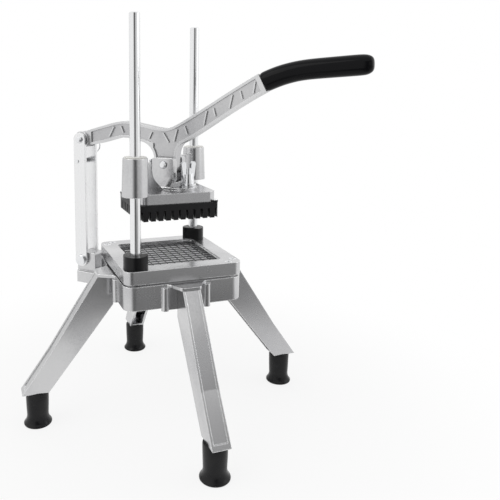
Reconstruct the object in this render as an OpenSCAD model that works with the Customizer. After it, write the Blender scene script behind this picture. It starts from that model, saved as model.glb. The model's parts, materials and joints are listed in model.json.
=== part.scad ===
// Lever-operated french fry cutter on four splayed legs.
// Millimetres. +Z is up, +X is towards the user and the free end of the handle.
// The origin lies on the bench, straight below the middle of the blade grid.
// A pusher runs on two upright rods. The handle is pinned to the pusher and, at its
// rear end, to a link that swings on a bracket of the base casting.

/* [Cut] */
// Spacing of the blades, which is the width of a fry
blade_pitch = 9.525; // [6:0.025:13]
// Blades in each layer
blade_count = 11; // [7:2:15]
// Thickness of a blade
blade_t = 0.6; // [0.4:0.05:1]
// How far a blade's ends reach into the frame
blade_grip = 5; // [3:0.5:7]

/* [Base] */
// Height of the casting's underside above the bench
chute_z = 160; // [130:5:200]
// Height of the base casting
base_h = 29; // [26:1:36]
// Half of the casting's side, which stands as a diamond
base_half = 75; // [72:0.5:80]
// Radius of the casting's corners
base_corner = 14; // [8:1:18]
// Wall of the casting
base_wall = 5; // [4:0.5:7]
// Thickness of the casting's rim
rim_t = 3.5; // [3:0.5:5]
// Height of the seat that lifts the blade frame off the rim
seat_h = 2.5; // [1.5:0.5:4]

/* [Blade frame] */
// How far the blade frame's side is set in from the casting's
frame_inset = 0.5; // [0:0.25:2]
// Thickness of the blade frame
frame_h = 16; // [14:0.5:20]
// Half of the frame's opening
open_half = 53; // [50:0.5:55]
// Radius of the frame's outer corners
frame_corner = 10; // [6:0.5:12]
// Radius of the opening's corners
open_corner = 5; // [4:0.5:7]
// How far the blades lie below the frame's top
blade_drop = 6; // [5:0.25:7]

/* [Legs and feet] */
// Distance of each foot's axis from the middle
foot_r = 171; // [150:1:190]
// Width of a leg
leg_w = 22; // [18:1:28]
// Wall of a leg
leg_t = 3.5; // [2.5:0.5:5]
// Depth of the panel sunk in a leg's outer face
panel_d = 1.2; // [0.6:0.2:2]
// How far a leg's outer face stands out from the casting at its top
leg_out = 20; // [16:1:26]
// Height of a leg's lower end above the bench
leg_foot_z = 43; // [34:1:50]
// Radius of a foot's body
foot_body_r = 12.6; // [11:0.2:15]
// Radius of a foot's sucker
foot_flare_r = 17.3; // [15:0.1:20]
// Radius of the leg bolts and foot screws
bolt_r = 3; // [2.5:0.5:4]

/* [Guide rods] */
// Distance of each rod from the middle
rod_y = 81.6; // [80.6:0.2:84]
// Radius of a rod
rod_r = 6.35; // [5.5:0.05:7]
// Height of the rods' tops above the bench
rod_top = 503.5; // [460:0.5:560]
// Radius of a rubber bumper
bumper_r = 14.8; // [13:0.2:17]
// Height of a rubber bumper
bumper_h = 16; // [12:1:20]

/* [Pusher] */
// Gap between the blade frame and the fingers' tips at rest
throat = 53; // [46:1:64]
// Half of the pusher block's side
block_half = 50.7; // [48:0.1:51.5]
// Height of the pusher block
block_h = 19.5; // [18:0.5:24]
// Height of the block's fingers
finger_h = 12; // [11.5:0.5:14]
// Width of the slots between the fingers
finger_gap = 3.4; // [2.4:0.2:4.4]
// Half of the head plate's side
head_half = 49; // [46:0.5:51]
// Thickness of the head plate
head_h = 13; // [11:0.5:16]
// Height of the pad that the clevis and the wing nuts stand on
pad_h = 3; // [2:0.5:4]
// Radius of the guide bosses at their top
boss_r = 14.7; // [12.5:0.1:16]
// Height of the guide bosses
boss_h = 45; // [36:1:60]
// How far the bosses' lower ends lie above the head plate's underside
boss_lift = 14; // [10:1:16]
// Thickness of the webs that carry the bosses
web_t = 8; // [5:1:12]
// How far a web's upper edge reaches inwards from its rod
web_reach = 31.6; // [28:0.2:34]
// Thickness of each clevis ear
ear_t = 10; // [7:0.5:12]
// Width of the clevis ears
ear_w = 30; // [28:1:34]
// Place of the wing nuts in front of and behind the middle
nut_x = 29.8; // [29.4:0.2:31]
// Radius that the wings sweep
wing_r = 10.8; // [9.6:0.2:11]
// How far the wings are turned from the line of the handle
wing_turn = 60; // [50:5:90]
// Radius of the block studs
stud_r = 4; // [3:0.5:4.5]

/* [Linkage] */
// Place of the pusher's pivot in front of the middle
pivot_x = 3.5; // [0:0.5:6]
// Height of the pusher's pivot above the head plate
pivot_rise = 28.5; // [27:0.5:32]
// Radius of the two quick-release pins
pin_r = 4.75; // [4:0.25:5.5]
// Distance of the link behind the middle
link_back = 127; // [124:1:134]
// Length of the link between its pivots
link_len = 168; // [160:1:176]
// Depth of the link's lower pivot below the rim of the casting
link_sink = 6; // [4:1:8]
// Width of the link's bars
bar_w = 18; // [16:0.5:20]
// Thickness of the link's bars
bar_t = 4; // [3:0.5:6]
// Gap between the two bars
bar_gap = 21; // [19:0.5:24]
// Radius of the link's bolt
link_bolt_r = 5; // [4:0.5:6]
// Diameter of the pull rings, measured to the wire's middle
ring_d = 20; // [16:1:22]
// Radius of the pull rings' wire
ring_wire = 0.9; // [0.7:0.1:1.2]

/* [Handle] */
// Thickness of the cast arm
arm_w = 15; // [12:0.5:15.5]
// Depth of the panels sunk in the arm's faces
arm_sink = 2.2; // [1:0.2:3]
// Width of the raised rim along the arm's edges
arm_rim = 3.2; // [2:0.2:4]
// Width of the ribs across the panels
rib_w = 1.8; // [1:0.2:3]
// How far the ribs stop short of the rim
rib_short = 3.5; // [0:0.5:5]
// Half of the grip's height
grip_half = 11.9; // [10.5:0.1:14]
// Half of the grip's thickness
grip_side = 11.5; // [10:0.5:14]
// Where the grip ends, in front of the pusher's pivot
grip_end = 247; // [225:1:260]

/* [Fits] */
// Radial running clearance of the bushes and pivots
run_fit = 0.08; // [0.03:0.01:0.1]
// Gap between faces that slide past each other
side_gap = 0.5; // [0.3:0.1:0.8]
// Slack round parts that are only dropped in
drop_fit = 0.1; // [0.05:0.05:0.2]

/* [Hidden] */
$fn = 48;
eps = 0.01;

// Heights, stacked from the bench upwards
base_top = chute_z + base_h;
frame_bot = base_top + seat_h;
frame_top = frame_bot + frame_h;
frame_half = base_half - frame_inset;
blade_top = frame_top - blade_drop;
block_bot = frame_top + throat;
block_top = block_bot + block_h;
plate_top = block_top + head_h;
head_top = plate_top + pad_h;
boss_bot = block_top + boss_lift;
boss_top = boss_bot + boss_h;
pivot_z = head_top + pivot_rise;
link_foot_z = base_top - link_sink;
link_top_z = link_foot_z + link_len;
rod_bot = chute_z + 1;
// Height of one layer of blades, so that the lower one rests on the casting's rim
blade_h = (blade_top - base_top - 0.3) / 2;

// Values that several pieces share
clevis_gap = arm_w + 2 * side_gap;
ear_out = clevis_gap / 2 + ear_t;
bar_in = bar_gap / 2;
bar_out = bar_in + bar_t;
tongue_w = bar_gap - 2 * side_gap;
hub_r = bar_w / 2 + 2;
foot_top = link_foot_z - bar_w / 2 - 7.5;
chute_half = open_half + 3;
pad_t = 7;
bolt_dz = 10.5;
bolt_z = chute_z + 5.5;
screw_x = 89;
screw_y = 6.8;
screw_r = 2.5;
nut_h = 8;
nut_r = 10.6;
lug_x = 67.5;
lug_r = 3.4;
washer_r = 11;
flange_r = 10;
apron = 3;
rib_u = leg_w / 2 + 15.5;
bush_wall = 2;
stud_top = head_top + 24;
steel = [0.78, 0.79, 0.81];
cast = [0.76, 0.77, 0.78];
dark = [0.12, 0.12, 0.13];

// The handle's middle line and half height, measured from the pusher's pivot
hub_at = [-link_back - pivot_x, link_top_z - pivot_z];
arm_line = [[hub_at[0], hub_at[1], 9.5], [-101.5, 33.5, 11], [-66, 42, 10.8], [-38.5, 38.5, 11],
  [-13, 33, 12.3], [5, 34, 12.5], [32, 47, 13.7], [84.5, 79.5, 13], [121.5, 101, 12.7],
  [142.5, 110, 12.6], [165.5, 115.5, 12], [199.5, 118.5, 12], [237.5, 121, 11.5], [252, 121.4, 11]];
// Where the grip begins, and where the tang inside it ends
grip_start = 124;
tang_end = grip_end - 22;
tang_half = 8.2;
// Feet and heads of the ribs across the arm's panels
arm_ribs = [[-90, -77], [-63, -71], [-50, -42], [-29, -20], [5, -9], [8, 15], [30, 22],
  [49, 55], [67, 61], [82, 88], [101, 95], [112, 116]];
// The neck's two sides, and the radius that blends them into the arm
neck_back = -18.5;
neck_front = 12.5;
neck_blend = 22.5;
// How far the link's pin leaves the hub's centre over the stroke, across and along the arm
slip_half = 2.4;
slip_up = 1.2;

// ---------------------------------------------------------------- helpers

// Catmull-Rom curve through the points p, with n steps in each span
function span(a, b, c, d, t) = 0.5 * ((2 * b) + (c - a) * t + (2 * a - 5 * b + 4 * c - d) * t * t
  + (3 * b - a - 3 * c + d) * t * t * t);
function curve(p, n) = [for (i = [0 : len(p) - 2], k = [0 : n - 1])
  span(p[max(i - 1, 0)], p[i], p[i + 1], p[min(i + 2, len(p) - 1)], k / n), p[len(p) - 1]];
function column(p, j) = [for (q = p) [q[0], q[j]]];
function arc(c, r, a, b, n) = [for (k = [0 : n]) c + r * [cos(a + (b - a) * k / n), sin(a + (b - a) * k / n)]];

arm_curve = curve(arm_line, 6);
function arm_z(x) = lookup(x, column(arm_curve, 1));
function arm_h(x) = lookup(x, column(arm_curve, 2));
function arm_tilt(x) = atan2(arm_z(x + 1) - arm_z(x - 1), 2);

module diamond() rotate([0, 0, 45]) children();
module at_corners() for (a = [45 : 90 : 315]) rotate([0, 0, a]) children();
module at_rods() for (s = [-1, 1]) translate([0, s * rod_y, 0]) children();
// A round-cornered oblong of half sides a and b, and a square of half side h
module oblong(a, b, r) {
  square([2 * a, 2 * (b - r)], center = true);
  square([2 * (a - r), 2 * b], center = true);
  for (x = [-1, 1], y = [-1, 1]) translate([x * (a - r), y * (b - r)]) circle(r);
}
module tile(h, r) oblong(h, h, r);
module slab(h, r, z0, z1) translate([0, 0, z0]) linear_extrude(z1 - z0) tile(h, r);
// Turns a drawing in x and z so that it lies in the XZ plane, w thick
module upright(w) translate([0, w / 2, 0]) rotate([90, 0, 0]) linear_extrude(w) children();
// A cylinder along Y from y0 to y1
module along_y(x, z, r, y0, y1) translate([x, y1, z]) rotate([90, 0, 0]) cylinder(r = r, h = y1 - y0);
module hex(r, h) cylinder(r = r, h = h, $fn = 6);

// ---------------------------------------------------------------- base

// Outline of the rim where it swells out over a leg: u runs along the side
module leg_cap() {
  half = leg_w / 2 + 3;
  polygon(concat([[-base_half, 36], [base_half - 1, 38]], arc([base_half + 11, 30], 12, 168, 250, 6),
    arc([base_half + leg_out - 5, half - 5], 5, 60, 0, 4),
    arc([base_half + leg_out - 5, 5 - half], 5, 0, -60, 4),
    arc([base_half + 11, -30], 12, 110, 192, 6), [[base_half - 1, -38]],
    [[-base_half, -36]]));
}

module base_casting() color(cast) difference() {
  union() {
    diamond() slab(base_half, base_corner, chute_z, base_top);
    // rim, which swells out over the legs
    at_corners() translate([0, 0, base_top - rim_t]) linear_extrude(rim_t)
      intersection() { leg_cap(); translate([0, -45]) square([200, 90]); }
    // half-round ribs each side of every leg, with an apron between them
    at_corners() for (u = [-1, 1]) translate([base_half, u * rib_u, chute_z - apron])
      cylinder(r = 4.5, h = base_h + apron - rim_t + eps);
    at_corners() translate([base_half - base_wall, -rib_u, chute_z - apron]) cube([base_wall, 2 * rib_u, apron + 1]);
    // bracket that carries the link: a broad foot with a tongue between the bars
    translate([-link_back + 15, 0, chute_z - 9]) linear_extrude(foot_top - chute_z + 9)
      oblong(24, bar_out + 0.5, 4);
    translate([-link_back, 0, link_foot_z]) upright(tongue_w) bracket_tongue();
  }
  // the chute, open right through
  diamond() slab(chute_half, open_corner, chute_z - 5, base_top + 1);
  // the hollow underneath, which leaves the wall, the rim and the corner pads
  translate([0, 0, chute_z - 1]) linear_extrude(base_h - 7 + 1) difference() {
    diamond_2d(base_half - base_wall, base_corner - base_wall);
    for (s = [-1, 1]) {
      translate([0, s * rod_y]) circle(nut_r + 4.5);
      translate([s * 106, 0]) square([60, 44], center = true);
    }
    for (a = [45 : 90 : 315]) rotate(a) translate([base_half - base_wall - pad_t, -leg_w / 2])
      square([pad_t + 1, leg_w]);
  }
  // bores for the rods and pockets for their nuts
  at_rods() translate([0, 0, chute_z - 1]) cylinder(r = rod_r + drop_fit, h = base_h + 2);
  at_rods() translate([0, 0, chute_z - 1]) cylinder(r = nut_r + 0.6, h = nut_h + 2.5);
  // holes for the frame's screws, the leg bolts and the link's bolt
  for (x = [-1, 1], y = [-1, 1]) translate([x * screw_x, y * screw_y, base_top - 16])
    cylinder(r = screw_r + 0.02, h = 17);
  at_corners() for (z = [0, bolt_dz]) translate([base_half - 20, 0, bolt_z + z]) rotate([0, 90, 0])
    cylinder(r = bolt_r + drop_fit, h = 30);
  along_y(-link_back, link_foot_z, link_bolt_r + 0.02, -30, 30);
}
module diamond_2d(h, r) rotate(45) tile(h, r);
// Side of the tongue, drawn about the link's lower pivot
module bracket_tongue() {
  r = bar_w / 2;
  low = foot_top - link_foot_z - 1;
  polygon(concat(arc([0, 1], r, 180, 90, 6), arc([r + 8, 7], 3, 90, 0, 4), [[r + 11, low], [-r, low]]));
}

// Profile of a leg: distance from the middle against height
knee = [foot_r - 16, leg_foot_z + 49];
function leg_outer() = [[base_half + leg_out, base_top - rim_t - 0.3], knee, [foot_r + 19, leg_foot_z]];
function leg_inner() = [[foot_r - 13.5, leg_foot_z], [base_half + 0.1, chute_z - 12]];
module leg_shape() polygon(concat([[base_half + 0.1, base_top - rim_t - 0.3]], leg_outer(), leg_inner()));
// The channel inside: the leg's shape moved in by the wall, open towards the middle
module leg_channel() {
  o = leg_outer();
  n = leg_t * 1.25;
  polygon([[base_half + pad_t, base_top - rim_t - 0.3 - leg_t], o[0] + [-n, -leg_t], o[1] + [-n, 0],
    [o[2][0] - n - 2, leg_foot_z + leg_t], [foot_r - 40, leg_foot_z + leg_t],
    [base_half - 20, chute_z - 30], [base_half + pad_t, chute_z - 6]]);
}
function leg_face(z) = let (o = leg_outer()) lookup(z, [for (k = [2, 1, 0]) [o[k][1], o[k][0]]]);
module leg_panel() {
  z0 = leg_foot_z + 5;
  z1 = base_top - rim_t + 1;
  d = panel_d * 1.2;
  polygon([[leg_face(z1) - d, z1], [leg_face(z1) + 20, z1], [leg_face(z0) + 20, z0], [leg_face(z0) - d, z0],
    knee - [d, 0]]);
}
module leg() color(cast) difference() {
  upright(leg_w) leg_shape();
  upright(leg_w - 2 * leg_t) leg_channel();
  upright(leg_w - 6) leg_panel();
  for (z = [0, bolt_dz]) translate([base_half - 1, 0, bolt_z + z]) rotate([0, 90, 0])
    cylinder(r = bolt_r + 0.02, h = pad_t + 1.01);
  translate([foot_r, 0, leg_foot_z - 1]) cylinder(r = bolt_r + drop_fit, h = leg_t + 2);
}
module leg_bolts() color(steel) at_corners() for (z = [0, bolt_dz])
  translate([base_half - base_wall - pad_t, 0, bolt_z + z]) rotate([0, 90, 0]) {
    cylinder(r = bolt_r, h = base_wall + pad_t + 6);
    translate([0, 0, -bolt_r]) cylinder(r = bolt_r * 1.65, h = bolt_r);
  }
// Rubber foot: a sucker base, a body, and a well that takes the screw's head
module foot() color(dark) translate([foot_r, 0, 0]) rotate_extrude() difference() {
  polygon(concat([[0, 0]], arc([foot_flare_r - 2, 2], 2, -90, 0, 4), arc([foot_flare_r - 5, 4], 5, 12, 78, 5),
    arc([foot_body_r + 1.6, 11], 1.6, 250, 180, 3),
    [[foot_body_r - 0.3, leg_foot_z - 1.5], [foot_body_r - 1.5, leg_foot_z], [0, leg_foot_z]]));
  translate([-1, -1]) square([bolt_r * 1.9 + 1.2, 13]);
  translate([-1, -1]) square([bolt_r + 1.05, leg_foot_z + 2]);
}
module foot_screws() color(steel) at_corners() translate([foot_r, 0, 0]) {
  translate([0, 0, 12 - bolt_r]) cylinder(r = bolt_r * 1.8, h = bolt_r);
  translate([0, 0, 12 - eps]) cylinder(r = bolt_r, h = leg_foot_z + leg_t - 12 + 9);
  translate([0, 0, leg_foot_z + leg_t]) hex(bolt_r * 1.9, bolt_r * 1.7);
}

// ---------------------------------------------------------------- rods and blades

module guide_rod(s) color("silver") translate([0, s * rod_y, rod_bot]) {
  cylinder(r = rod_r, h = rod_top - rod_bot - 1);
  translate([0, 0, rod_top - rod_bot - 1]) cylinder(r1 = rod_r, r2 = rod_r - 1, h = 1);
}
module rod_nuts() color(steel) at_rods() translate([0, 0, chute_z + 1.4]) difference() {
  hex(nut_r, nut_h);
  translate([0, 0, -1]) cylinder(r = rod_r, h = nut_h + 2);
}
// Rubber stop, cut flat where the pusher block passes it
module bumper(s) color(dark) translate([0, s * rod_y, frame_top]) difference() {
  cylinder(r = bumper_r, h = bumper_h);
  translate([0, 0, -1]) cylinder(r = rod_r + 0.02, h = bumper_h + 2);
  translate([-bumper_r, s > 0 ? -bumper_r - 8.3 : 8.3, -1]) cube([2 * bumper_r, bumper_r, bumper_h + 2]);
}

module blade_frame() color(cast) difference() {
  union() {
    diamond() slab(frame_half, frame_corner, frame_bot, frame_top);
    diamond() slab(frame_half - 4, frame_corner + 4, base_top, frame_bot + eps);
  }
  diamond() slab(open_half, open_corner, base_top - 1, frame_top + 1);
  // the opening's edge is broken by a step that guides the potato in
  translate([0, 0, frame_top - 2]) diamond() slab(open_half + 1.5, open_corner, 0, 3);
  // grooves that hold the blades' ends, open below
  diamond() for (k = [0, 1]) rotate([0, 0, 90 * k]) blade_strips(blade_t + 2 * drop_fit,
    blade_grip + drop_fit, base_top - 1, blade_top - k * (blade_h + 0.2) + drop_fit);
  at_rods() translate([0, 0, base_top - 1]) cylinder(r = rod_r + drop_fit, h = seat_h + frame_h + 2);
  for (x = [-1, 1], y = [-1, 1]) translate([x * screw_x, y * screw_y, 0]) {
    translate([0, 0, base_top - 1]) cylinder(r = screw_r + drop_fit, h = seat_h + frame_h + 2);
    translate([0, 0, frame_top - screw_r]) cylinder(r1 = screw_r + drop_fit, r2 = 2 * screw_r + 0.3, h = screw_r + eps);
  }
}
module blade_strips(t, grip, z0, z1) for (i = [0 : blade_count - 1])
  translate([(i - (blade_count - 1) / 2) * blade_pitch - t / 2, -open_half - grip, z0])
    cube([t, 2 * (open_half + grip), z1 - z0]);
module upper_blades() color("silver") diamond()
  blade_strips(blade_t, blade_grip, blade_top - blade_h, blade_top);
module lower_blades() color("silver") diamond() rotate([0, 0, 90])
  blade_strips(blade_t, blade_grip, blade_top - 2 * blade_h - 0.2, blade_top - blade_h - 0.2);
module frame_screws() color(steel) for (x = [-1, 1], y = [-1, 1]) translate([x * screw_x, y * screw_y, 0]) {
  translate([0, 0, base_top - 12]) cylinder(r = screw_r, h = frame_top - base_top + 12 - screw_r + eps);
  translate([0, 0, frame_top - screw_r]) cylinder(r1 = screw_r, r2 = 2 * screw_r, h = screw_r);
}

// ---------------------------------------------------------------- link

module link_bolt() color(steel) {
  along_y(-link_back, link_foot_z, link_bolt_r, -bar_out - 0.2, bar_out + 9);
  translate([-link_back, -bar_out - 0.2, link_foot_z]) rotate([90, 0, 0]) {
    cylinder(r = 7.2, h = 2.6);
    translate([0, 0, 2.6]) cylinder(r1 = 7.2, r2 = 6.7, h = 0.5);
  }
}
module link_nut() color(steel) translate([-link_back, bar_out + 0.3, link_foot_z]) rotate([-90, 0, 0]) difference() {
  union() { cylinder(r = 8.4, h = 1.2); translate([0, 0, 1.2 - eps]) hex(8.2, 6.5); }
  translate([0, 0, -1]) cylinder(r = link_bolt_r, h = 10);
}
spacer_at = [-link_back - 4, link_top_z - 30];
module link_bar(s) color([0.84, 0.84, 0.85]) difference() {
  translate([-link_back, s * (bar_in + bar_t / 2), link_foot_z]) upright(bar_t) {
    translate([-bar_w / 2, 0]) square([bar_w, link_len]);
    circle(bar_w / 2);
    translate([0, link_len]) circle(bar_w / 2);
  }
  along_y(-link_back, link_foot_z, link_bolt_r + run_fit, -40, 40);
  along_y(-link_back, link_top_z, pin_r + 0.02, -40, 40);
  along_y(spacer_at[0], spacer_at[1], 2.5 + 0.02, -40, 40);
}
module link_spacer() color(steel) {
  along_y(spacer_at[0], spacer_at[1], 2.5, -bar_out - 1, bar_out + 1);
  along_y(spacer_at[0], spacer_at[1], 4, -bar_in, bar_in);
}
// Quick-release pin: rounded nose towards -Y, collar and drilled head towards +Y
module release_pin(x, z, nose, face) color(steel) difference() {
  union() {
    along_y(x, z, pin_r, -nose - 2, face + 3);
    translate([x, -nose - 2, z]) rotate([90, 0, 0]) cylinder(r1 = pin_r, r2 = pin_r - 1.6, h = 2);
    along_y(x, z, pin_r + 2.4, face + 0.1, face + 2.6);
    // flat head, thin enough for the ring to bend round it
    intersection() {
      along_y(x, z, pin_r + 0.6, face + 2.6 - eps, face + 9);
      translate([x - 2, face, z - 10]) cube([4, 20, 20]);
    }
  }
  translate([x - 12, face + 6, z]) rotate([0, 90, 0]) cylinder(r = ring_wire + 0.5, h = 24);
}
// Wire ring that hangs through the pin's head
module pull_ring(x, z, face) color(steel) translate([x, face + 6, z - ring_d / 2]) rotate([90, 0, 0])
  rotate_extrude($fn = 64) translate([ring_d / 2, 0]) circle(ring_wire, $fn = 16);
module link_pin() release_pin(-link_back, link_top_z, bar_out, bar_out);
module link_ring() pull_ring(-link_back, link_top_z, bar_out);
module pusher_pin() release_pin(pivot_x, pivot_z, ear_out, ear_out);
module pusher_ring() pull_ring(pivot_x, pivot_z, ear_out);

// ---------------------------------------------------------------- handle

// The arm's side between two places, with its edges moved in by e
module arm_side(x0, x1, e, n = 40) {
  xs = [for (k = [0 : n]) x0 + (x1 - x0) * k / n];
  polygon(concat([for (x = xs) [x, arm_z(x) + arm_h(x) - e / cos(arm_tilt(x))]],
    [for (k = [n : -1 : 0]) [xs[k], arm_z(xs[k]) - arm_h(xs[k]) + e / cos(arm_tilt(xs[k]))]]));
}
// The neck that drops from the arm to the pusher's pivot, with its edges moved in by e
module neck_side(e) {
  r = (neck_front - neck_back) / 2;
  polygon(concat(arc([(neck_front + neck_back) / 2, 0], r - e, 180, 360, 12),
    arc([neck_front + neck_blend, 11], neck_blend + e, 180, 100, 8),
    [[neck_front + 12, 42], [neck_back - 12, 38]],
    arc([neck_back - neck_blend, 5], neck_blend + e, 80, 0, 8)));
}
module arm_rib(f, h) {
  a = [f, arm_z(f) - arm_h(f) + 1];
  b = [h, arm_z(h) + arm_h(h) - 1];
  d = b - a;
  cut = rib_short > 0 ? arm_rim + rib_short - 1 : 0;
  translate(a) rotate(atan2(d[1], d[0])) translate([cut, -rib_w / 2]) square([norm(d) - 2 * cut, rib_w]);
}
module handle_arm() color(cast) translate([pivot_x, 0, pivot_z]) difference() {
  union() {
    upright(arm_w) {
      difference() { arm_side(hub_at[0], grip_start + 9, 0); grip_room(0.3); }
      neck_side(0);
    }
    upright(arm_w - 4) tang_side(0);
    translate([hub_at[0], 0, hub_at[1]]) upright(bar_gap - 2 * side_gap) circle(hub_r);
  }
  // panels sunk in both faces, crossed by ribs
  for (s = [-1, 1]) translate([0, s * (arm_w - arm_sink + eps) / 2, 0]) upright(arm_sink + eps) difference() {
    union() {
      arm_side(hub_at[0] + hub_r + 4, grip_start + 9, arm_rim);
      intersection() { neck_side(arm_rim); translate([-20, pin_r + 3.2]) square([40, 40]); }
    }
    grip_room(6);
    for (q = arm_ribs) arm_rib(q[0], q[1]);
  }
  // bore of the pusher's pivot
  along_y(0, 0, pin_r + run_fit, -20, 20);
  // mouth at the rear end, open towards the back, that takes the link's pin
  translate([hub_at[0], 0, hub_at[1] + slip_up]) upright(40) {
    circle(pin_r + slip_half);
    translate([-40, -pin_r - slip_half]) square([40, 2 * (pin_r + slip_half)]);
  }
}
// Everything past the grip's square-cut start, moved back along the arm by d
module grip_room(d) translate([grip_start, arm_z(grip_start)]) rotate(arm_tilt(grip_start))
  translate([-d, -40]) square([80, 80]);
// The tang inside the grip
module tang_side(e) {
  n = 14;
  x0 = grip_start - 8;
  xs = [for (k = [0 : n]) x0 + (tang_end + e - x0) * k / n];
  polygon(concat([for (x = xs) [x, arm_z(x) + tang_half + e]],
    [for (k = [n : -1 : 0]) [xs[k], arm_z(xs[k]) - tang_half - e]]));
}
// Dipped vinyl grip: an oval section swept along the handle, with a round end
grip_rings = 18;
grip_sides = 28;
function grip_x(k) = k < 12 ? grip_start + (grip_end - 12 - grip_start) * k / 12
  : grip_end - 12 + 12 * sin(90 * (k - 12) / (grip_rings - 12.6));
function grip_s(k) = k < 12 ? 1 : cos(90 * (k - 12) / (grip_rings - 12.6));
function oval(a, p) = sign(a) * pow(abs(a), p);
grip_points = [for (k = [0 : grip_rings - 1], j = [0 : grip_sides - 1])
  let (x = grip_x(k), s = grip_s(k), a = 360 * j / grip_sides, v = grip_half * s * oval(sin(a), 0.75))
  [x - v * sin(arm_tilt(x)), grip_side * s * oval(cos(a), 0.75), arm_z(x) + v * cos(arm_tilt(x))]];
grip_faces = concat([[for (j = [0 : grip_sides - 1]) j]],
  [[for (j = [grip_sides - 1 : -1 : 0]) (grip_rings - 1) * grip_sides + j]],
  [for (k = [0 : grip_rings - 2], j = [0 : grip_sides - 1]) let (a = k * grip_sides, n = (j + 1) % grip_sides)
    [a + j, a + grip_sides + j, a + grip_sides + n, a + n]]);
module handle_grip() color(dark) translate([pivot_x, 0, pivot_z]) difference() {
  polyhedron(points = grip_points, faces = grip_faces);
  upright(arm_w - 4 + 2 * drop_fit) tang_side(drop_fit);
}

// ---------------------------------------------------------------- pusher

module pusher_head() color(cast) difference() {
  union() {
    // plate over the block, with its front and rear corners cut off to clear the block's lugs
    intersection() {
      diamond() slab(head_half, 9, block_top, plate_top);
      translate([0, 0, block_top]) linear_extrude(head_h)
        square([2 * (lug_x - lug_r - 0.6), 4 * head_half], center = true);
    }
    // pad under the clevis and the wing nuts
    translate([0, 0, plate_top - 1]) linear_extrude(pad_h + 1)
      oblong(nut_x + washer_r + 0.5, ear_out + 2, ear_out + 1.99);
    // guide bosses, slightly tapered
    at_rods() translate([0, 0, boss_bot]) cylinder(r1 = boss_r + 1.5, r2 = boss_r, h = boss_h);
    // webs from the bosses to the clevis
    for (s = [-1, 1]) rotate([0, 0, 90 * s]) upright(web_t) web_side();
    // clevis
    translate([pivot_x - 1, 0, 0]) upright(2 * ear_out) clevis_side();
  }
  // gap for the handle's neck
  translate([pivot_x - 40, -clevis_gap / 2, head_top + 5]) cube([80, clevis_gap, 80]);
  along_y(pivot_x, pivot_z, pin_r + 0.02, -40, 40);
  at_rods() translate([0, 0, boss_bot - 1]) cylinder(r = rod_r + run_fit + bush_wall + 0.02, h = boss_h + 2);
  for (s = [-1, 1]) translate([s * nut_x, 0, block_top - 1]) cylinder(r = stud_r + drop_fit, h = head_h + pad_h + 2);
}
// Side of a web: distance from the middle against height. Its upper edge is a hollow
// curve, given as shares of the way out to its top corner.
web_line = [[0, 0], [0.37, 0.195], [0.79, 0.45], [0.946, 0.747], [1, 1]];
module web_side() {
  top = boss_top - 8;
  low = [ear_out + 0.5, plate_top];
  high = [rod_y - web_reach, top];
  foot = rod_y - boss_r - 2;
  polygon(concat([[low[0], plate_top - 1]], [for (q = curve(web_line, 4))
    [low[0] + q[0] * (high[0] - low[0]), low[1] + q[1] * (high[1] - low[1])]],
    [[rod_y - rod_r - 3, top], [rod_y - rod_r - 3, boss_bot], [foot, boss_bot], [foot, plate_top - 1]]));
}
// Side of the clevis, drawn about the pivot's x
module clevis_side() {
  w = ear_w / 2;
  z = pivot_z + 8.5;
  polygon(concat([[-w + 9, head_top - 1], [-w, head_top + 9]], arc([3 - w, z - 3], 3, 180, 90, 4),
    arc([w - 3, z - 3], 3, 90, 0, 4), [[w, head_top + 9], [w - 5, head_top - 1]]));
}
module guide_bush(s) color([0.8, 0.78, 0.7]) translate([0, s * rod_y, boss_bot]) difference() {
  union() {
    cylinder(r = rod_r + run_fit + bush_wall, h = boss_h);
    translate([0, 0, boss_h]) cylinder(r = boss_r - 1.5, h = 1.4);
  }
  translate([0, 0, -1]) cylinder(r = rod_r + run_fit, h = boss_h + 4);
}
// Black block: a plate with square fingers that pass between the blades
module pusher_block() color(dark) difference() {
  union() {
    diamond() slab(block_half, 3, block_bot, block_top);
    for (s = [-1, 1]) translate([s * lug_x, 0, block_top - eps]) cylinder(r = lug_r, h = 2);
  }
  diamond() for (k = [0, 1]) rotate([0, 0, 90 * k]) translate([0, 0, block_bot - 1])
    for (i = [0 : blade_count - 1])
      translate([(i - (blade_count - 1) / 2) * blade_pitch - finger_gap / 2, -block_half - 9, 0])
        cube([finger_gap, 2 * block_half + 18, finger_h + 1]);
  for (s = [-1, 1]) translate([s * nut_x, 0, block_bot + finger_h + 2]) cylinder(r = stud_r, h = block_h);
  for (s = [-1, 1]) translate([s * lug_x, 0, block_top - 4]) cylinder(r = 1.5, h = 10);
}
module block_screws() color(steel) for (s = [-1, 1]) translate([s * lug_x, 0, block_top]) {
  translate([0, 0, -4]) cylinder(r = 1.5, h = 6);
  translate([0, 0, 2]) cylinder(r1 = 2.8, r2 = 2, h = 1.4);
}
module block_studs() color(steel) for (s = [-1, 1]) translate([s * nut_x, 0, block_bot + finger_h + 2])
  cylinder(r = stud_r, h = stud_top - block_bot - finger_h - 2);
module stud_washers() color(steel) for (s = [-1, 1]) translate([s * nut_x, 0, head_top]) difference() {
  cylinder(r = washer_r, h = 1.6);
  translate([0, 0, -1]) cylinder(r = stud_r + drop_fit, h = 4);
}
// Wing nut with tall ears on a broad collar
module wing_nut(s) color(steel) translate([s * nut_x, 0, head_top + 1.8]) difference() {
  union() {
    cylinder(r = flange_r, h = 3);
    translate([0, 0, 3 - eps]) cylinder(r1 = 8.2, r2 = 6.8, h = 12);
    rotate([0, 0, wing_turn]) upright(3.4) for (m = [-1, 1]) scale([m, 1]) hull() {
      translate([4, 5]) circle(2);
      translate([6.5, 13]) circle(2.4);
      translate([wing_r - 3.4, 27]) circle(3.4);
    }
  }
  translate([0, 0, -1]) cylinder(r = stud_r + run_fit, h = 50);
}

// ---------------------------------------------------------------- nodes

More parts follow.
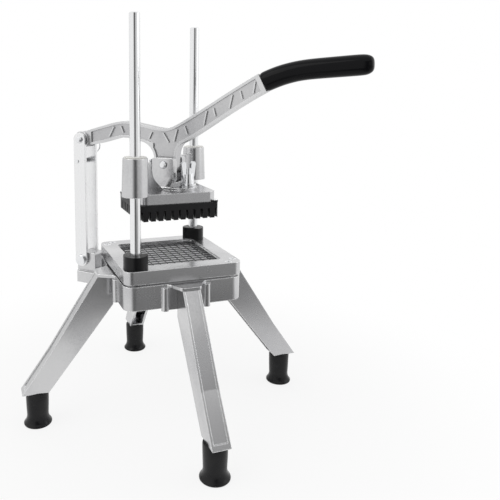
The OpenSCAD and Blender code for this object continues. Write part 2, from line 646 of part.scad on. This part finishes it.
base_casting();
rotate([0, 0, -45]) leg();  // leg_front_left
rotate([0, 0, 45]) leg();  // leg_front_right
rotate([0, 0, -135]) leg();  // leg_rear_left
rotate([0, 0, 135]) leg();  // leg_rear_right
leg_bolts();
rotate([0, 0, -45]) foot();  // foot_front_left
rotate([0, 0, 45]) foot();  // foot_front_right
rotate([0, 0, -135]) foot();  // foot_rear_left
rotate([0, 0, 135]) foot();  // foot_rear_right
foot_screws();
guide_rod(-1);  // guide_rod_left
guide_rod(1);  // guide_rod_right
rod_nuts();
bumper(-1);  // bumper_left
bumper(1);  // bumper_right
blade_frame();
upper_blades();
lower_blades();
frame_screws();
link_bolt();
link_nut();
link_bar(-1);  // link_bar_left
link_bar(1);  // link_bar_right
link_spacer();
link_pin();
link_ring();
handle_arm();
handle_grip();
pusher_head();
guide_bush(-1);  // guide_bush_left
guide_bush(1);  // guide_bush_right
pusher_block();
block_screws();
block_studs();
stud_washers();
wing_nut(1);  // wing_nut_front
wing_nut(-1);  // wing_nut_rear
pusher_pin();
pusher_ring();
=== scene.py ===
import json
import math

import bpy
from mathutils import Matrix, Vector

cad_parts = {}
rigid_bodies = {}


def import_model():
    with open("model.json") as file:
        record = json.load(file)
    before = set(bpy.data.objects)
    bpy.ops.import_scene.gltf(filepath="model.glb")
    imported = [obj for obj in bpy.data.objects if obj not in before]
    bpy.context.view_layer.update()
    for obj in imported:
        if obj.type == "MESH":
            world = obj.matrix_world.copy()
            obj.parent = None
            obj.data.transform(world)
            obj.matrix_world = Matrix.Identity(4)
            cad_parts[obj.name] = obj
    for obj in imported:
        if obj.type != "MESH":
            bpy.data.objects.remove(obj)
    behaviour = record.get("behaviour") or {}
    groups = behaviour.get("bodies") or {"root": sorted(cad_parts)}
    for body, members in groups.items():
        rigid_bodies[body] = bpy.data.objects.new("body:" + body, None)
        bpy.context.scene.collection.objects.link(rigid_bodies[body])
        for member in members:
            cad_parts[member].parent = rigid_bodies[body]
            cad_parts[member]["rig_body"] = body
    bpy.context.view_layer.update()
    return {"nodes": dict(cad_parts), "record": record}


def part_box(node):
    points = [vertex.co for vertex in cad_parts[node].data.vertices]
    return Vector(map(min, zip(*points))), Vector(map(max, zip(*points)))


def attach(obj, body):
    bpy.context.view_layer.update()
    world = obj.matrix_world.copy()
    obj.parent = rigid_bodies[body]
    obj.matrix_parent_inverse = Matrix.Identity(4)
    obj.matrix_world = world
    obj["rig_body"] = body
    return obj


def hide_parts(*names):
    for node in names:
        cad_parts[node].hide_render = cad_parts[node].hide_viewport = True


# Lengths are in metres and angles in degrees. Only the camera's lens and sensor are in millimetres.

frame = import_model()
nodes = frame["nodes"]


# ---------------------------------------------------------------- camera and studio

CAMERA_PLACE = (0.3348, -0.6531, 0.4120)
CAMERA_HEADING, CAMERA_TILT, CAMERA_ROLL = 25.65, 82.32, 0.33
CAMERA_LENS, CAMERA_SENSOR = 41.226, 36
CAMERA_SHIFT = (0.136, -0.156)
CAMERA_NEAREST = 0.01

WHITE = (1.0, 1.0, 1.0, 1.0)
# The white room's parts seen from the tool: the way to each, and its soft edge as a pair, from where it
# starts to where it is full. Edges to the sides are in the towards() measure, and heights in the way's rise.
TO_DOORWAY, DOORWAY_EDGE, DOORWAY_LINTEL, DOORWAY_DARK = (0.766, -0.643, 0.0), (0.66, 0.95), (0.55, 0.66), 0.92
TO_WINDOW, WINDOW_EDGE, WINDOW_SILL, WINDOW_HEAD = (0.966, -0.259, 0.0), (0.80, 0.96), (-0.24, -0.10), (0.30, 0.50)
WINDOW_LIGHT, PANE_LIGHT = 0.24, 0.75
TO_STRIP, STRIP_EDGE, STRIP_DARK = (-0.93, 0.36, -0.05), (0.955, 0.992), 0.15
ROOM_LIGHT = 0.80

FLOOR_RADIUS, FLOOR_TONE = 0.58, 0.84
FLOOR_DROP = 0.0004
# How much of the floor glows like the room near the tool, and where outwards it comes to glow all over
FLOOR_GLOW, GLOW_REACH = 0.84, (0.20, 0.54)
TO_DARK_FLOOR, DARK_FLOOR_EDGE, DARK_FLOOR_REACH, DARK_FLOOR = (0.80, -0.60, 0.0), (0.60, 0.92), (0.24, 0.42), 0.85

# Each softbox: name, place, size, power, colour. Both aim at the tool's middle.
SOFTBOXES = (("key_softbox", (-0.7, -0.9, 1.5), (1.1, 1.1), 5, (1.0, 0.99, 0.97)),
             ("fill_softbox", (1.3, 0.5, 0.9), (0.9, 1.2), 2.5, (0.97, 0.98, 1.0)))
LAMP_AIM = (0, 0, 0.25)


def set_camera():
    bpy.ops.object.camera_add(location=CAMERA_PLACE)
    camera = bpy.context.object
    camera.name = "camera"
    turn = (Matrix.Rotation(math.radians(CAMERA_HEADING), 4, "Z")
            @ Matrix.Rotation(math.radians(CAMERA_TILT), 4, "X")
            @ Matrix.Rotation(math.radians(CAMERA_ROLL), 4, "Z"))
    camera.matrix_world = Matrix.Translation(CAMERA_PLACE) @ turn
    camera.data.sensor_width = CAMERA_SENSOR
    camera.data.lens = CAMERA_LENS
    camera.data.shift_x, camera.data.shift_y = CAMERA_SHIFT
    camera.data.clip_start = CAMERA_NEAREST
    bpy.context.scene.camera = camera


def add_softbox(name, place, size, power, colour):
    bpy.ops.object.light_add(type="AREA", location=place)
    lamp = bpy.context.object
    lamp.name = name
    lamp.data.shape = "RECTANGLE"
    lamp.data.size, lamp.data.size_y = size
    lamp.data.energy = power
    lamp.data.color = colour
    lamp.rotation_euler = (Vector(LAMP_AIM) - Vector(place)).to_track_quat("-Z", "Y").to_euler()


class Graph:
    """A material's or the world's node tree, with short calls for the nodes used here."""

    def __init__(self, tree):
        self.nodes = tree.nodes
        self.links = tree.links

    def put(self, socket, value):
        if isinstance(value, bpy.types.NodeSocket):
            self.links.new(value, socket)
        else:
            socket.default_value = value

    def add(self, kind, inputs=None, **settings):
        node = self.nodes.new("ShaderNode" + kind)
        for key, value in settings.items():
            setattr(node, key, value)
        for key, value in (inputs or {}).items():
            self.put(node.inputs[key], value)
        return node

    def math(self, operation, a, b=0.0):
        return self.add("Math", {0: a, 1: b}, operation=operation).outputs[0]

    def times(self, a, b):
        return self.math("MULTIPLY", a, b)

    def less(self, a, b):
        return self.math("SUBTRACT", a, b)

    def larger(self, a, b):
        return self.math("MAXIMUM", a, b)

    def mixed(self, a, share_a, b, share_b):
        """A weighted sum of two values."""
        return self.math("ADD", self.times(a, share_a), self.times(b, share_b))

    def spread(self, value, low, high, to_low=0.0, to_high=1.0):
        """Leads a value smoothly from one level at low to another at high."""
        return self.add("MapRange", {0: value, 1: low, 2: high, 3: to_low, 4: to_high},
                        interpolation_type="SMOOTHSTEP").outputs[0]

    def part(self, vector, axis):
        return self.add("SeparateXYZ", {0: vector}).outputs[axis]

    def unit(self, vector):
        return self.add("VectorMath", {0: vector}, operation="NORMALIZE").outputs[0]

    def towards(self, way, aim):
        """How closely two directions agree: 1 for the same, 0 for square."""
        return self.add("VectorMath", {0: way, 1: aim}, operation="DOT_PRODUCT").outputs["Value"]

    def noise(self, place, scale, detail=4.0, stretch=None, roughness=0.5):
        if stretch:
            place = self.add("Mapping", {"Vector": place, "Scale": stretch}).outputs[0]
        return self.add("TexNoise", {"Vector": place, "Scale": scale, "Detail": detail,
                                     "Roughness": roughness}).outputs[0]

    def blend(self, share, a, b):
        return self.add("Mix", {0: share, 6: a, 7: b}, data_type="RGBA").outputs[2]

    def close(self, shader, output):
        self.links.new(shader.outputs[0], self.add(output).inputs[0])


def set_world():
    """A white room.

    A dark doorway with a half-lit window stands at its front right and a dim strip at its back left. They
    show in the metal. The camera sees plain white.
    """
    world = bpy.data.worlds.new("studio")
    bpy.context.scene.world = world
    world.use_nodes = True
    g = Graph(world.node_tree)
    g.nodes.clear()
    way = g.add("TexCoord").outputs["Generated"]
    height = g.part(way, "Z")
    level_way = g.unit(g.add("VectorMath", {0: way, 1: (1.0, 1.0, 0.0)}, operation="MULTIPLY").outputs[0])
    pane = g.times(g.spread(height, *WINDOW_SILL), g.spread(height, *WINDOW_HEAD, 1.0, 0.0))
    light = g.spread(pane, 0.0, 1.0, WINDOW_LIGHT, PANE_LIGHT)
    window = g.times(g.spread(g.towards(level_way, TO_WINDOW), *WINDOW_EDGE), light)
    doorway = g.times(g.spread(g.towards(level_way, TO_DOORWAY), *DOORWAY_EDGE, 0.0, DOORWAY_DARK),
                      g.spread(height, *DOORWAY_LINTEL, 1.0, 0.0))
    doorway = g.times(doorway, g.less(1.0, window))
    strip = g.spread(g.towards(way, TO_STRIP), *STRIP_EDGE, 0.0, STRIP_DARK)
    open_wall = g.less(1.0, g.larger(doorway, strip))
    path = g.add("LightPath")
    mirrored = g.larger(path.outputs["Is Glossy Ray"], path.outputs["Is Transmission Ray"])
    level = g.times(open_wall, g.spread(mirrored, 0.0, 1.0, ROOM_LIGHT, 1.0))
    strength = g.add("Mix", {0: path.outputs["Is Camera Ray"], 2: level, 3: 1.0}, data_type="FLOAT").outputs[0]
    g.close(g.add("Background", {"Color": WHITE, "Strength": strength}), "OutputWorld")


def lay_floor():
    """A pale round floor that keeps the shadow near the feet and fades to the white room."""
    bpy.ops.mesh.primitive_circle_add(vertices=96, radius=FLOOR_RADIUS, fill_type="NGON",
                                      location=(0, 0, -FLOOR_DROP))
    floor = bpy.context.object
    floor.name = "floor"
    material = bpy.data.materials.new("pale_floor")
    material.use_nodes = True
    g = Graph(material.node_tree)
    g.nodes.clear()
    place = g.add("TexCoord").outputs["Object"]
    far = g.add("VectorMath", {0: place}, operation="LENGTH").outputs["Value"]
    path = g.add("LightPath")
    seen = g.larger(path.outputs["Is Camera Ray"],
                    g.larger(path.outputs["Is Glossy Ray"], path.outputs["Is Transmission Ray"]))
    glow_share = g.times(g.spread(far, *GLOW_REACH, FLOOR_GLOW, 1.0), seen)
    # what the doorway leaves dark on the floor shows in the metal alone
    beside = g.spread(g.towards(g.unit(place), TO_DARK_FLOOR), *DARK_FLOOR_EDGE, 0.0, DARK_FLOOR)
    shade = g.times(beside, g.spread(far, *DARK_FLOOR_REACH))
    glow_level = g.less(1.0, g.times(shade, path.outputs["Is Glossy Ray"]))
    matt = g.add("BsdfDiffuse", {"Color": (FLOOR_TONE, FLOOR_TONE, FLOOR_TONE, 1.0)})
    glow = g.add("Emission", {"Color": WHITE, "Strength": glow_level})
    mix = g.add("MixShader", {0: glow_share, 1: matt.outputs[0], 2: glow.outputs[0]})
    g.close(mix, "OutputMaterial")
    floor.data.materials.append(material)


set_camera()
set_world()
lay_floor()
for softbox in SOFTBOXES:
    add_softbox(*softbox)
bpy.context.scene.view_settings.view_transform = "Standard"


# ---------------------------------------------------------------- finishes

BRIGHT, BLACK = (0.86, 0.865, 0.87, 1.0), (0.008, 0.008, 0.009, 1.0)
# How far inside a raised rim's half width its painted highlight starts and is full, and how strong it gets
RIM_HIGHLIGHT_STARTS, RIM_HIGHLIGHT_FULL, RIM_HIGHLIGHT_SHARE = 0.0009, 0.0003, 0.36
# How far under the blades' crest their painted shade starts and is full
CREST_SHADE_STARTS, CREST_SHADE_FULL = 0.0013, 0.0009


def new_finish(name):
    material = bpy.data.materials.new(name)
    material.use_nodes = True
    g = Graph(material.node_tree)
    return material, g, g.nodes["Principled BSDF"], g.add("TexCoord").outputs["Object"]


def rounded(g, radius):
    """The surface normal with its sharp edges eased."""
    return g.add("Bevel", {"Radius": radius}, samples=4).outputs[0]


def near_edge(g, eased):
    """How near an edge a point is, from how far the eased normal leans there."""
    true = g.add("NewGeometry").outputs["Normal"]
    return g.spread(g.towards(eased, true), 0.995, 0.88)


def openness(g, distance):
    """How open a point is: 1 on an open face, lower deep in a corner."""
    return g.add("AmbientOcclusion", {"Distance": distance}, samples=6).outputs["AO"]


def bumped(g, shader, height, strength, distance, normal=None):
    bump = g.add("Bump", {"Height": height, "Strength": strength, "Distance": distance})
    if normal is not None:
        g.put(bump.inputs["Normal"], normal)
    g.put(shader.inputs["Normal"], bump.outputs[0])


def cast_aluminium(name="cast_aluminium", ease=0.0012, smooth=0.18, rough=0.30, dark=0.52, light=0.61,
                   crease_shade=0.50, raised=None):
    """Tumbled sand casting: a fine pebbled skin, cloudy tone, edges scuffed bright with a painted highlight on
    them, and painted shade in the creases.

    The argument soil sets how dark the painted shade in the creases is. Raised is the half width of a casting
    whose rim and ribs get a painted highlight, brighter than its sunk panels.
    """
    material, g, shader, place = new_finish(name)
    eased = rounded(g, ease)
    edge = near_edge(g, eased)
    cloud = g.noise(place, scale=14, detail=3)
    skin = g.noise(place, scale=420, detail=4, roughness=0.55)
    pebble = g.noise(place, scale=1500, detail=2)
    tone = g.mixed(cloud, 0.75, skin, 0.25)
    cast = g.blend(g.spread(tone, 0.35, 0.65), (dark, dark, dark + 0.01, 1.0), (light, light, light + 0.005, 1.0))
    # The edges are painted lighter: partly scuffing, partly a painted highlight.
    lightened = g.blend(g.times(edge, 0.9), cast, (0.92, 0.925, 0.93, 1.0))
    if raised:
        # Painted highlight: the rim and ribs, at full half width, are coloured brighter than the sunk panels.
        aside = g.math("ABSOLUTE", g.part(place, "Y"))
        rim_highlight = g.times(g.spread(aside, raised - RIM_HIGHLIGHT_STARTS, raised - RIM_HIGHLIGHT_FULL), RIM_HIGHLIGHT_SHARE)
        lightened = g.blend(rim_highlight, lightened, BRIGHT)
    # Painted shade: corners and creases are coloured darker where little light reaches.
    painted_crease_shade = g.spread(openness(g, 0.0014), 0.40, 0.90, crease_shade, 0.0)
    g.put(shader.inputs["Base Color"], g.blend(painted_crease_shade, lightened, (0.16, 0.16, 0.165, 1.0)))
    shader.inputs["Metallic"].default_value = 1.0
    dull = g.spread(tone, 0.3, 0.7, rough, smooth)
    g.put(shader.inputs["Roughness"], g.less(dull, g.times(edge, 0.08)))
    bumped(g, shader, g.mixed(skin, 0.7, pebble, 0.3), strength=0.05, distance=0.0004, normal=eased)
    return material


def polished_rod():
    """Hard chrome on ground rod: bright, with faint lengthwise wiping marks."""
    material, g, shader, place = new_finish("polished_rod")
    wipe = g.noise(place, scale=1.0, detail=3, stretch=(900, 900, 9))
    smear = g.noise(place, scale=40, detail=3)
    g.put(shader.inputs["Base Color"], g.blend(wipe, (0.76, 0.765, 0.775, 1.0), BRIGHT))
    shader.inputs["Metallic"].default_value = 1.0
    g.put(shader.inputs["Roughness"], g.spread(g.times(wipe, smear), 0.12, 0.42, 0.14, 0.22))
    bumped(g, shader, wipe, strength=0.03, distance=0.0001)
    return material


def bright_steel():
    """Plated fasteners: bright, a little hazy, dulled in patches by handling."""
    material, g, shader, place = new_finish("bright_steel")
    haze = g.noise(place, scale=180, detail=4)
    fine = g.noise(place, scale=2200, detail=2)
    g.put(shader.inputs["Base Color"], g.blend(haze, (0.70, 0.71, 0.73, 1.0), BRIGHT))
    shader.inputs["Metallic"].default_value = 1.0
    g.put(shader.inputs["Roughness"], g.spread(haze, 0.3, 0.7, 0.10, 0.22))
    bumped(g, shader, fine, strength=0.05, distance=0.0001, normal=rounded(g, 0.0005))
    return material


def link_steel():
    """Flat stainless bar, brushed along its length."""
    material, g, shader, place = new_finish("link_steel")
    grain = g.noise(place, scale=1.0, detail=4, stretch=(2600, 2600, 26))
    cloud = g.noise(place, scale=30, detail=2)
    tone = g.mixed(grain, 0.4, cloud, 0.6)
    g.put(shader.inputs["Base Color"], g.blend(tone, (0.78, 0.785, 0.79, 1.0), (0.87, 0.87, 0.875, 1.0)))
    shader.inputs["Metallic"].default_value = 1.0
    shader.inputs["Anisotropic"].default_value = 0.4
    g.put(shader.inputs["Roughness"], g.spread(tone, 0.3, 0.7, 0.20, 0.32))
    bumped(g, shader, grain, strength=0.05, distance=0.0002, normal=rounded(g, 0.0007))
    return material


def blade_steel():
    """Hardened strip: bright satin sides, with painted shade along the ground crest."""
    material, g, shader, place = new_finish("blade_steel")
    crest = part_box("upper_blades")[1].z
    grind = g.noise(place, scale=1.0, detail=3, stretch=(1400, 1400, 120))
    side = g.blend(grind, BRIGHT, (0.95, 0.95, 0.955, 1.0))
    # Painted shade: the top of the ground crest is coloured dark.
    painted_crest_shade = g.spread(g.part(place, "Z"), crest - CREST_SHADE_STARTS, crest - CREST_SHADE_FULL)
    g.put(shader.inputs["Base Color"], g.blend(painted_crest_shade, side, (0.10, 0.10, 0.105, 1.0)))
    shader.inputs["Metallic"].default_value = 0.1
    g.put(shader.inputs["Roughness"], g.spread(grind, 0.3, 0.7, 0.24, 0.38))
    bumped(g, shader, grind, strength=0.06, distance=0.0001)
    return material


def black_rubber():
    """Moulded rubber: matt, faintly dusty and uneven."""
    material, g, shader, place = new_finish("black_rubber")
    dust = g.noise(place, scale=45, detail=4)
    fine = g.noise(place, scale=1600, detail=3)
    dusty = g.times(g.spread(dust, 0.45, 0.75), 0.6)
    g.put(shader.inputs["Base Color"], g.blend(dusty, BLACK, (0.026, 0.026, 0.025, 1.0)))
    shader.inputs["Specular IOR Level"].default_value = 0.22
    g.put(shader.inputs["Roughness"], g.spread(dust, 0.3, 0.7, 0.20, 0.36))
    bumped(g, shader, fine, strength=0.15, distance=0.0002, normal=rounded(g, 0.0006))
    return material


def black_plastic():
    """Moulded nylon block: black, finely eroded, its edges scuffed grey by the blades."""
    material, g, shader, place = new_finish("black_plastic")
    eased = rounded(g, 0.0004)
    skin = g.noise(place, scale=2400, detail=3)
    patch = g.noise(place, scale=60, detail=4)
    black = g.blend(patch, BLACK, (0.018, 0.018, 0.019, 1.0))
    lightened = g.times(near_edge(g, eased), 0.35)
    g.put(shader.inputs["Base Color"], g.blend(lightened, black, (0.09, 0.09, 0.095, 1.0)))
    shader.inputs["Specular IOR Level"].default_value = 0.25
    g.put(shader.inputs["Roughness"], g.spread(patch, 0.3, 0.7, 0.34, 0.50))
    bumped(g, shader, skin, strength=0.12, distance=0.0002, normal=eased)
    return material


def black_vinyl():
    """Dipped vinyl: deep gloss over the slow ripple of the dip, with a few dull smears."""
    material, g, shader, place = new_finish("black_vinyl")
    ripple = g.noise(place, scale=55, detail=2)
    smear = g.noise(place, scale=22, detail=5, stretch=(0.5, 2.0, 2.0))
    peel = g.noise(place, scale=900, detail=2)
    g.put(shader.inputs["Base Color"], g.blend(smear, (0.004, 0.004, 0.005, 1.0), BLACK))
    shader.inputs["Specular IOR Level"].default_value = 0.09
    g.put(shader.inputs["Roughness"], g.spread(smear, 0.35, 0.75, 0.05, 0.13))
    bumped(g, shader, g.mixed(ripple, 0.9, peel, 0.1), strength=0.15, distance=0.0008)
    return material


def nylon():
    """Natural nylon bushing, slightly yellowed and polished in its bore."""
    material, g, shader, place = new_finish("nylon")
    tone = g.noise(place, scale=120, detail=4)
    g.put(shader.inputs["Base Color"], g.blend(tone, (0.78, 0.77, 0.73, 1.0), (0.87, 0.865, 0.84, 1.0)))
    g.put(shader.inputs["Roughness"], g.spread(tone, 0.3, 0.7, 0.35, 0.5))
    bumped(g, shader, tone, strength=0.08, distance=0.0002)
    return material


FINISHES = {"cast_aluminium": cast_aluminium(), "polished_rod": polished_rod(), "bright_steel": bright_steel(),
            "link_steel": link_steel(), "blade_steel": blade_steel(), "black_rubber": black_rubber(),
            "black_plastic": black_plastic(), "black_vinyl": black_vinyl(), "nylon": nylon()}
for row in frame["record"]["subparts"]:
    materials = nodes[row["node"]].data.materials
    materials.clear()
    materials.append(FINISHES[row["material_slot"]])
nodes["handle_arm"].data.materials[0] = cast_aluminium(
    "arm_casting", ease=0.0004, smooth=0.28, rough=0.40, dark=0.46, light=0.55, crease_shade=0.22, raised=0.0075)


# ---------------------------------------------------------------- making pieces

def deselect():
    for each in bpy.context.selected_objects:
        each.select_set(False)


def activate(piece):
    deselect()
    piece.select_set(True)
    bpy.context.view_layer.objects.active = piece


def fix_place():
    """Puts the selected piece's place, turn and size into its mesh."""
    bpy.ops.object.transform_apply(location=True, rotation=True, scale=True)


def start_piece(primitive, **settings):
    """Adds a primitive with nothing else selected, and fixes its place."""
    deselect()
    primitive(**settings)
    fix_place()
    return bpy.context.object


def open_mesh(selection="SELECT"):
    bpy.ops.object.mode_set(mode="EDIT")
    bpy.ops.mesh.select_all(action=selection)


def close_mesh():
    bpy.ops.object.mode_set(mode="OBJECT")


def open_at(piece, wanted):
    """Opens a piece's mesh with only those faces selected whose normal is wanted."""
    open_mesh("DESELECT")
    close_mesh()
    for face in piece.data.polygons:
        face.select = wanted(face.normal)
    bpy.ops.object.mode_set(mode="EDIT")


def face_outwards():
    """Turns all faces of the open mesh outwards, and closes it."""
    bpy.ops.mesh.select_all(action="SELECT")
    bpy.ops.mesh.normals_make_consistent(inside=False)
    close_mesh()


def extrude(step):
    bpy.ops.mesh.extrude_region_move(TRANSFORM_OT_translate={"value": step})


def apply_modifiers(piece):
    activate(piece)
    for modifier in list(piece.modifiers):
        bpy.ops.object.modifier_apply(modifier=modifier.name)


def cut(piece, cutter):
    """Takes the cutter out of the piece."""
    tool = piece.modifiers.new("cut", "BOOLEAN")
    tool.operation = "DIFFERENCE"
    tool.solver = "EXACT"
    tool.object = cutter
    apply_modifiers(piece)
    bpy.data.objects.remove(cutter)


def join(parts):
    deselect()
    for each in parts:
        each.select_set(True)
    bpy.context.view_layer.objects.active = parts[0]
    bpy.ops.object.join()
    return parts[0]


def settle(piece, name, slot, body, stands_for=None):
    """Names a finished piece, gives it its finish and hangs it on its body, for its own node if it has one."""
    piece.name = name
    activate(piece)
    fix_place()
    piece.data.materials.clear()
    piece.data.materials.append(FINISHES[slot])
    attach(piece, body)
    if stands_for:
        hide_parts(stands_for)


# ---------------------------------------------------------------- feet

FEET = ("foot_front_left", "foot_front_right", "foot_rear_left", "foot_rear_right")
# A foot from the leg down to the bench: radius and height
FOOT_PROFILE = ((0.0128, 0.0428), (0.0138, 0.0420), (0.0141, 0.0404), (0.0138, 0.0250), (0.0134, 0.0150),
                (0.0133, 0.0125), (0.0135, 0.0100), (0.0143, 0.0070), (0.0157, 0.0042), (0.0168, 0.0030),
                (0.0173, 0.0022), (0.0173, 0.0010), (0.0168, 0.0003), (0.0162, 0.0))


def mould_foot(node):
    """A moulded rubber foot: a tapering body that flares to a thin lip on the bench."""
    low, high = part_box(node)
    x, y = (low.x + high.x) / 2, (low.y + high.y) / 2
    top_radius, top = FOOT_PROFILE[0]
    foot = start_piece(bpy.ops.mesh.primitive_circle_add, vertices=48, radius=top_radius, fill_type="NGON",
                       location=(x, y, top))
    open_mesh()
    for (last_radius, last_z), (radius, z) in zip(FOOT_PROFILE, FOOT_PROFILE[1:]):
        wider = radius / last_radius
        extrude((0, 0, z - last_z))
        bpy.ops.transform.resize(value=(wider, wider, 1), center_override=(x, y, z))
    face_outwards()
    bpy.ops.object.shade_smooth_by_angle(angle=math.radians(40))
    settle(foot, "flared_" + node, "black_rubber", nodes[node]["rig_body"], node)


# ---------------------------------------------------------------- grip

PIVOT = Vector((0.0035, 0.0, 0.3245))
# The grip's middle line from its lip to its end: how far in front of and above the pusher's pivot, its tilt
# and its half height
GRIP_LINE = ((0.1243, 0.1022, 27.0, 0.0106), (0.1250, 0.1027, 27.0, 0.0121), (0.1285, 0.1045, 26.0, 0.0123),
             (0.1425, 0.1100, 20.5, 0.0122), (0.1550, 0.1133, 12.5, 0.0120), (0.1655, 0.1155, 9.0, 0.0119),
             (0.1800, 0.1172, 5.5, 0.0119), (0.1995, 0.1185, 3.8, 0.0119), (0.2190, 0.1198, 3.7, 0.0119),
             (0.2330, 0.1207, 3.0, 0.0119), (0.2395, 0.1210, 2.5, 0.0113), (0.2440, 0.1213, 2.0, 0.0092),
             (0.2468, 0.1214, 2.0, 0.0056))


def dip_grip():
    """Dipped vinyl: a round sleeve drawn out along the handle, with a rolled lip and a blunt round end."""
    front, up, tilt, half = GRIP_LINE[0]
    grip = start_piece(bpy.ops.mesh.primitive_circle_add, vertices=16, radius=half, fill_type="NGON",
                       location=PIVOT + Vector((front, 0, up)), rotation=(0, math.radians(90 - tilt), 0))
    open_mesh()
    for last, now in zip(GRIP_LINE, GRIP_LINE[1:]):
        middle = PIVOT + Vector((now[0], 0, now[1]))
        extrude((now[0] - last[0], 0, now[1] - last[1]))
        bpy.ops.transform.rotate(value=math.radians(now[2] - last[2]), orient_axis="Y", center_override=middle)
        bpy.ops.transform.resize(value=(now[3] / last[3],) * 3, center_override=middle)
    close_mesh()
    smooth = grip.modifiers.new("smooth", "SUBSURF")
    smooth.levels = smooth.render_levels = 3
    apply_modifiers(grip)
    open_mesh()
    face_outwards()
    bpy.ops.object.shade_smooth()
    settle(grip, "vinyl_grip", "black_vinyl", "handle", "handle_grip")


# ---------------------------------------------------------------- blade frame's screws

# How far out the screws stand at the frame's front and rear corners, and how far to each side
SCREW_OUT, SCREW_ASIDE = 0.089, 0.0068
SCREW_TURNS = (12, 57, 33, 78)
SCREW_RADIUS, SCREW_HEAD, SCREW_SHANK = 0.005, 0.0025, 0.028
# As shares of the head's radius: the shank's radius, and the cross recess's whole length and width
SHANK_SHARE, RECESS_LONG, RECESS_WIDE = 0.5, 1.15, 0.24
# The height of the recess's cutter, half of which is in the head
RECESS_HIGH = 0.0026
CROWN_EASE = 0.00018


def countersunk_screw(x, y, top, turn):
    """A countersunk screw with a cross recess, its crown eased."""
    screw = start_piece(bpy.ops.mesh.primitive_cylinder_add, vertices=40, radius=SCREW_RADIUS, depth=SCREW_HEAD,
                        location=(x, y, top - SCREW_HEAD / 2))
    open_at(screw, lambda normal: normal.z < -0.9)
    bpy.ops.transform.resize(value=(SHANK_SHARE, SHANK_SHARE, 1), center_override=(x, y, top))
    extrude((0, 0, -SCREW_SHANK))
    close_mesh()
    recess = (SCREW_RADIUS * RECESS_LONG, SCREW_RADIUS * RECESS_WIDE, RECESS_HIGH)
    for angle in (turn, turn + 90):
        cut(screw, start_piece(bpy.ops.mesh.primitive_cube_add, size=1, location=(x, y, top),
                               rotation=(0, 0, math.radians(angle)), scale=recess))
    crown = screw.modifiers.new("crown", "BEVEL")
    crown.width = CROWN_EASE
    crown.segments = 2
    crown.limit_method = "ANGLE"
    crown.angle_limit = math.radians(40)
    apply_modifiers(screw)
    bpy.ops.object.shade_smooth_by_angle(angle=math.radians(30))
    return screw


def drive_frame_screws():
    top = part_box("blade_frame")[1].z
    places = [(x, y) for x in (-SCREW_OUT, SCREW_OUT) for y in (-SCREW_ASIDE, SCREW_ASIDE)]
    screws = [countersunk_screw(x, y, top, turn) for (x, y), turn in zip(places, SCREW_TURNS)]
    settle(join(screws), "recessed_frame_screws", "bright_steel", "base", "frame_screws")


# ---------------------------------------------------------------- blades

BLADES, BLADE_PITCH = 11, 0.009525
BLADE_THICK, BLADE_REACH = 0.0006, 0.116
# How high the ground part of a blade is, and how much of the thickness is left at its crest
GROUND_HIGH, GROUND_THICK = 0.0012, 0.25


def lay_blades(name, node, turn):
    """A row of thin strips, each ground to a fine crest at the upper row's top."""
    bottom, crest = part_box(node)[0].z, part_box("upper_blades")[1].z
    shoulder = crest - GROUND_HIGH
    first = -(BLADES - 1) / 2 * BLADE_PITCH
    strip = start_piece(bpy.ops.mesh.primitive_cube_add, size=1, location=(first, 0, (bottom + shoulder) / 2),
                        scale=(BLADE_THICK, BLADE_REACH, shoulder - bottom))
    open_at(strip, lambda normal: normal.z > 0.9)
    extrude((0, 0, GROUND_HIGH))
    bpy.ops.transform.resize(value=(GROUND_THICK, 1, 1), center_override=(first, 0, crest))
    close_mesh()
    row = strip.modifiers.new("row", "ARRAY")
    row.count = BLADES
    row.use_relative_offset = False
    row.use_constant_offset = True
    row.constant_offset_displace = (BLADE_PITCH, 0, 0)
    apply_modifiers(strip)
    strip.rotation_euler = (0, 0, math.radians(turn))
    settle(strip, name, "blade_steel", "base", node)


# ---------------------------------------------------------------- threads of the block's studs

STUD_OUT, STUD_RADIUS = 0.0298, 0.0040
THREAD_FOOT, THREAD_LENGTH, THREAD_PITCH = 0.3128, 0.0070, 0.00125
# The radius of the ridge's three-sided section, and how far inside the stud's skin its middle is, as shares
# of the pitch, with the turn that points one corner away from the stud
RIDGE_SIZE, RIDGE_SUNK, RIDGE_TURN = 0.46, 0.08, 30


def cut_thread(name, x):
    """A raised helical ridge round a stud's plain shank."""
    section = (x + STUD_RADIUS - THREAD_PITCH * RIDGE_SUNK, 0, THREAD_FOOT)
    ridge = start_piece(bpy.ops.mesh.primitive_circle_add, vertices=3, radius=THREAD_PITCH * RIDGE_SIZE,
                        fill_type="NOTHING", location=section, rotation=(math.radians(90), 0, 0))
    open_mesh()
    bpy.ops.transform.rotate(value=math.radians(RIDGE_TURN), orient_axis="Y", center_override=section)
    close_mesh()
    axis = bpy.data.objects.new("axis", None)
    axis.location = (x, 0, THREAD_FOOT)
    bpy.context.scene.collection.objects.link(axis)
    coil = ridge.modifiers.new("coil", "SCREW")
    coil.object = axis
    coil.screw_offset = THREAD_PITCH
    coil.iterations = int(THREAD_LENGTH / THREAD_PITCH)
    coil.steps = coil.render_steps = 28
    coil.use_merge_vertices = False
    apply_modifiers(ridge)
    bpy.data.objects.remove(axis)
    open_mesh()
    bpy.ops.mesh.fill_holes(sides=3)
    face_outwards()
    settle(ridge, name, "bright_steel", "pusher")


for foot_node in FEET:
    mould_foot(foot_node)
dip_grip()
drive_frame_screws()
lay_blades("ground_upper_blades", "upper_blades", 45)
lay_blades("ground_lower_blades", "lower_blades", 135)
cut_thread("stud_thread_front", STUD_OUT)
cut_thread("stud_thread_rear", -STUD_OUT)
